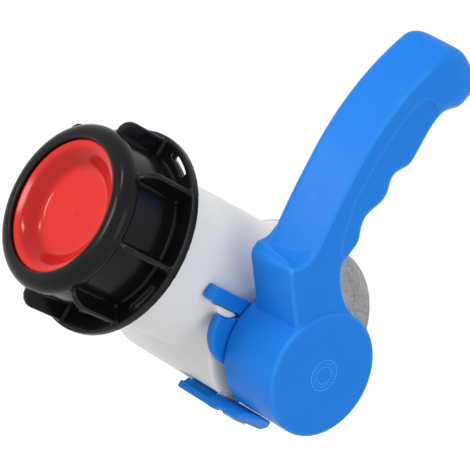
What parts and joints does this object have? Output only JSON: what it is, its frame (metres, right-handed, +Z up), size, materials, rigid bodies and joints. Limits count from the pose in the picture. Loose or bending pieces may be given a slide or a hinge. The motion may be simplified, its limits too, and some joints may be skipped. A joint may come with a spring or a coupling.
{
  "type": "ibc valve adapter",
  "caption": "Outlet flap valve for a bulk liquid container: white tube with cross housing, blue quarter-turn handle, safety latch and ribbed screw cap with dished plug.",
  "frame": {"origin": "centre of the foil over the inlet, on the axis of the bore", "axes": "-Y along the flow from inlet to capped outlet, +X along the stem towards the handle hub, +Z up along the closed lever"},
  "size_m": [0.1063, 0.1434, 0.1654],
  "materials": {
    "white_body": "satin",
    "foil": "dull wrinkled foil",
    "flap_plastic": "satin",
    "seal_rubber": "matt",
    "stem_plastic": "satin",
    "washer_plastic": "satin",
    "blue_plate": "satin",
    "blue_handle": "moulded, slightly glossy",
    "blue_latch": "satin",
    "pin_steel": "drawn",
    "leaf_steel": "rolled strip",
    "black_cap": "moulded, satin to glossy",
    "red_insert": "moulded, glossy",
    "gasket": "matt"
  },
  "bodies": {
    "valve": {"valve_body": "white_body", "foil_seal": "foil", "foil_sleeve": "foil", "lock_plate": "blue_plate"},
    "rotor": {"handle": "blue_handle", "valve_stem": "stem_plastic", "flap_disc": "flap_plastic", "flap_seal_upper": "seal_rubber", "flap_seal_lower": "seal_rubber", "stem_o_ring_inner": "seal_rubber", "stem_o_ring_outer": "seal_rubber", "stem_washer": "washer_plastic"},
    "latch": {"safety_latch": "blue_latch", "latch_pin": "pin_steel", "latch_leaf": "leaf_steel"},
    "cap_seal": {"cap_insert": "red_insert", "cap_gasket": "gasket"},
    "cap_nut": {"cap_nut": "black_cap"}
  },
  "joints": [
    {"name": "handle_turn", "type": "hinge", "parent": "valve", "child": "rotor", "pos_m": [0, -0.0444, -0.01166], "axis": [1, 0, 0], "range_deg": [0, 90]},
    {"name": "latch_press", "type": "hinge", "parent": "valve", "child": "latch", "pos_m": [0.0255, -0.0444, -0.04056], "axis": [0, 1, 0], "range_deg": [0, 3], "stiffness_Nm_per_rad": 0.05, "springref_deg": -5.73},
    {"name": "cap_travel", "type": "slide", "parent": "valve", "child": "cap_seal", "axis": [0, -1, 0], "range_m": [0, 0.018]},
    {"name": "nut_spin", "type": "hinge", "parent": "cap_seal", "child": "cap_nut", "pos_m": [0, -0.13, 0], "axis": [0, -1, 0], "range_deg": [0, 1080]}
  ],
  "couplings": [
    {"joint": "cap_travel", "follows": "nut_spin", "m_per_rad": 0.00095493}
  ]
}
